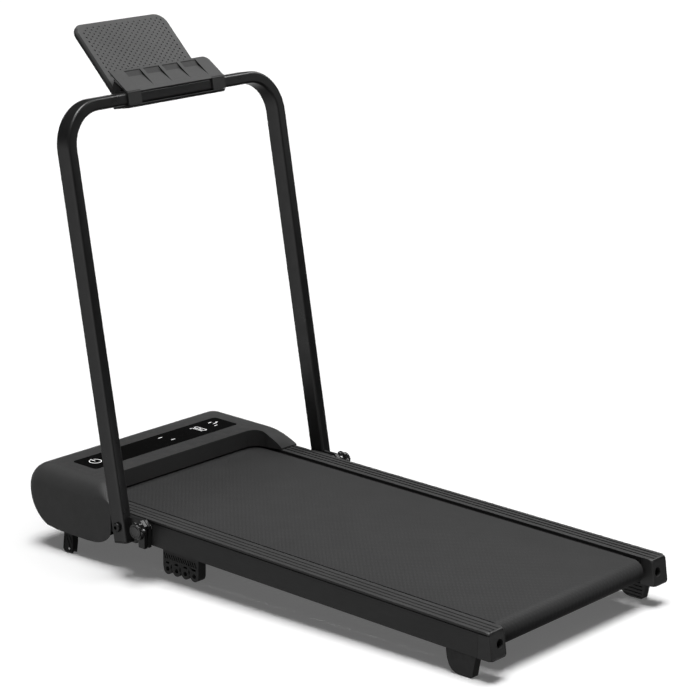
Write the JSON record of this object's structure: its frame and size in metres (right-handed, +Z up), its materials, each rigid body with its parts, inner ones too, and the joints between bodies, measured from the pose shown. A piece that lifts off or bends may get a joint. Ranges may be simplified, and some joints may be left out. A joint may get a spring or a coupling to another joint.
{
  "type": "treadmill",
  "caption": "Low walking treadmill: ribbed side rails and a belt between them, front motor hood with a display, folding U handle with a device holder.",
  "frame": {"origin": "on the floor, at the centre of the bounding box's footprint", "axes": "+Y the way the walker faces, towards the hood; +X the walker's right; +Z up. The deck itself rises 2 degrees towards +Y."},
  "size_m": [0.6352, 1.2628, 1.082],
  "materials": {
    "black_paint": "satin black paint",
    "charcoal_plastic": "fine-grained charcoal plastic",
    "rail_grey": "satin dark grey coating",
    "belt_rubber": "finely ribbed",
    "black_rubber": "moulded matte",
    "display_glass": "gloss black",
    "board_green": "circuit board",
    "bright_steel": "turned",
    "dark_steel": "blackened",
    "deck_wood": "coated fibreboard",
    "holder_grey": "mid grey plastic",
    "motor_grey": "cast casing",
    "cast_aluminium": "cast and machined",
    "knob_black": "glossy"
  },
  "bodies": {
    "base": {"base_frame": "black_paint", "side_rail_left": "rail_grey", "side_rail_right": "rail_grey", "end_cap_left": "charcoal_plastic", "end_cap_right": "charcoal_plastic", "hood_cover": "charcoal_plastic", "belly_pan": "charcoal_plastic", "power_panel": "charcoal_plastic", "rear_axle": "bright_steel", "front_axle": "bright_steel", "roller_pin_left": "bright_steel", "roller_pin_right": "bright_steel", "pivot_washer_left": "bright_steel", "pivot_washer_right": "bright_steel", "pivot_bolt_left": "dark_steel", "pivot_bolt_right": "dark_steel", "handle_bracket_left": "dark_steel", "handle_bracket_right": "dark_steel", "walking_belt": "belt_rubber", "drive_belt": "black_rubber", "rear_foot_left": "black_rubber", "rear_foot_right": "black_rubber", "cushion_foot_left": "black_rubber", "cushion_foot_right": "black_rubber", "front_leg_left": "black_rubber", "front_leg_right": "black_rubber", "deck_cushion_1": "black_rubber", "deck_cushion_2": "black_rubber", "deck_cushion_3": "black_rubber", "deck_cushion_4": "black_rubber", "deck_cushion_5": "black_rubber", "deck_cushion_6": "black_rubber", "deck_board": "deck_wood", "motor_body": "motor_grey", "controller": "cast_aluminium", "display_lens": "display_glass", "display_board": "board_green"},
    "handle": {"handle": "black_paint", "handle_plug_left": "charcoal_plastic", "handle_plug_right": "charcoal_plastic", "lock_bolt_left": "bright_steel", "lock_bolt_right": "bright_steel", "holder_body": "holder_grey", "holder_back_plate": "holder_grey", "holder_clamp": "holder_grey", "holder_screw_left": "bright_steel", "holder_screw_right": "bright_steel"},
    "lock_knob_left": {"lock_knob_left": "knob_black"},
    "lock_knob_right": {"lock_knob_right": "knob_black"},
    "rear_roller": {"rear_roller": "dark_steel"},
    "front_roller": {"front_roller": "dark_steel"},
    "motor_rotor": {"motor_rotor": "cast_aluminium"},
    "transport_roller_left": {"transport_roller_left": "charcoal_plastic"},
    "transport_roller_right": {"transport_roller_right": "charcoal_plastic"},
    "rocker_switch": {"rocker_switch": "display_glass"},
    "belt_adjuster_left": {"belt_adjuster_left": "bright_steel"},
    "belt_adjuster_right": {"belt_adjuster_right": "bright_steel"}
  },
  "joints": [
    {"name": "handle_fold", "type": "hinge", "parent": "base", "child": "handle", "pos_m": [0, 0.30287, 0.10934], "axis": [1, 0, 0], "range_deg": [0, 96]},
    {"name": "lock_knob_left_turn", "type": "hinge", "parent": "handle", "child": "lock_knob_left", "pos_m": [-0.305, 0.24773, 0.11242], "axis": [-1, 0, 0], "range_deg": [0, 720]},
    {"name": "lock_knob_right_turn", "type": "hinge", "parent": "handle", "child": "lock_knob_right", "pos_m": [0.305, 0.24773, 0.11242], "axis": [1, 0, 0], "range_deg": [0, 720]},
    {"name": "front_roller_spin", "type": "hinge", "parent": "base", "child": "front_roller", "pos_m": [0, 0.46799, 0.1086], "axis": [1, 0, 0], "continuous": true},
    {"name": "rear_roller_spin", "type": "hinge", "parent": "base", "child": "rear_roller", "pos_m": [0, -0.59076, 0.07163], "axis": [1, 0, 0], "continuous": true},
    {"name": "motor_spin", "type": "hinge", "parent": "base", "child": "motor_rotor", "pos_m": [0.2, 0.54689, 0.11286], "axis": [1, 0, 0], "continuous": true},
    {"name": "transport_roller_left_spin", "type": "hinge", "parent": "base", "child": "transport_roller_left", "pos_m": [-0.2625, 0.49795, 0.00999], "axis": [1, 0, 0], "continuous": true},
    {"name": "transport_roller_right_spin", "type": "hinge", "parent": "base", "child": "transport_roller_right", "pos_m": [0.2625, 0.49795, 0.00999], "axis": [1, 0, 0], "continuous": true},
    {"name": "power_rocker", "type": "hinge", "parent": "base", "child": "rocker_switch", "pos_m": [0.199, 0.62031, 0.11642], "axis": [1, 0, 0], "range_deg": [0, 12]},
    {"name": "belt_adjuster_left_turn", "type": "hinge", "parent": "base", "child": "belt_adjuster_left", "pos_m": [-0.245, -0.61135, 0.07091], "axis": [0, 0.9994, 0.0349], "range_deg": [-360, 360]},
    {"name": "belt_adjuster_right_turn", "type": "hinge", "parent": "base", "child": "belt_adjuster_right", "pos_m": [0.245, -0.61135, 0.07091], "axis": [0, 0.9994, 0.0349], "range_deg": [-360, 360]}
  ],
  "couplings": [
    {"joint": "rear_roller_spin", "follows": "front_roller_spin", "ratio": 1},
    {"joint": "motor_spin", "follows": "front_roller_spin", "ratio": 2.56}
  ]
}
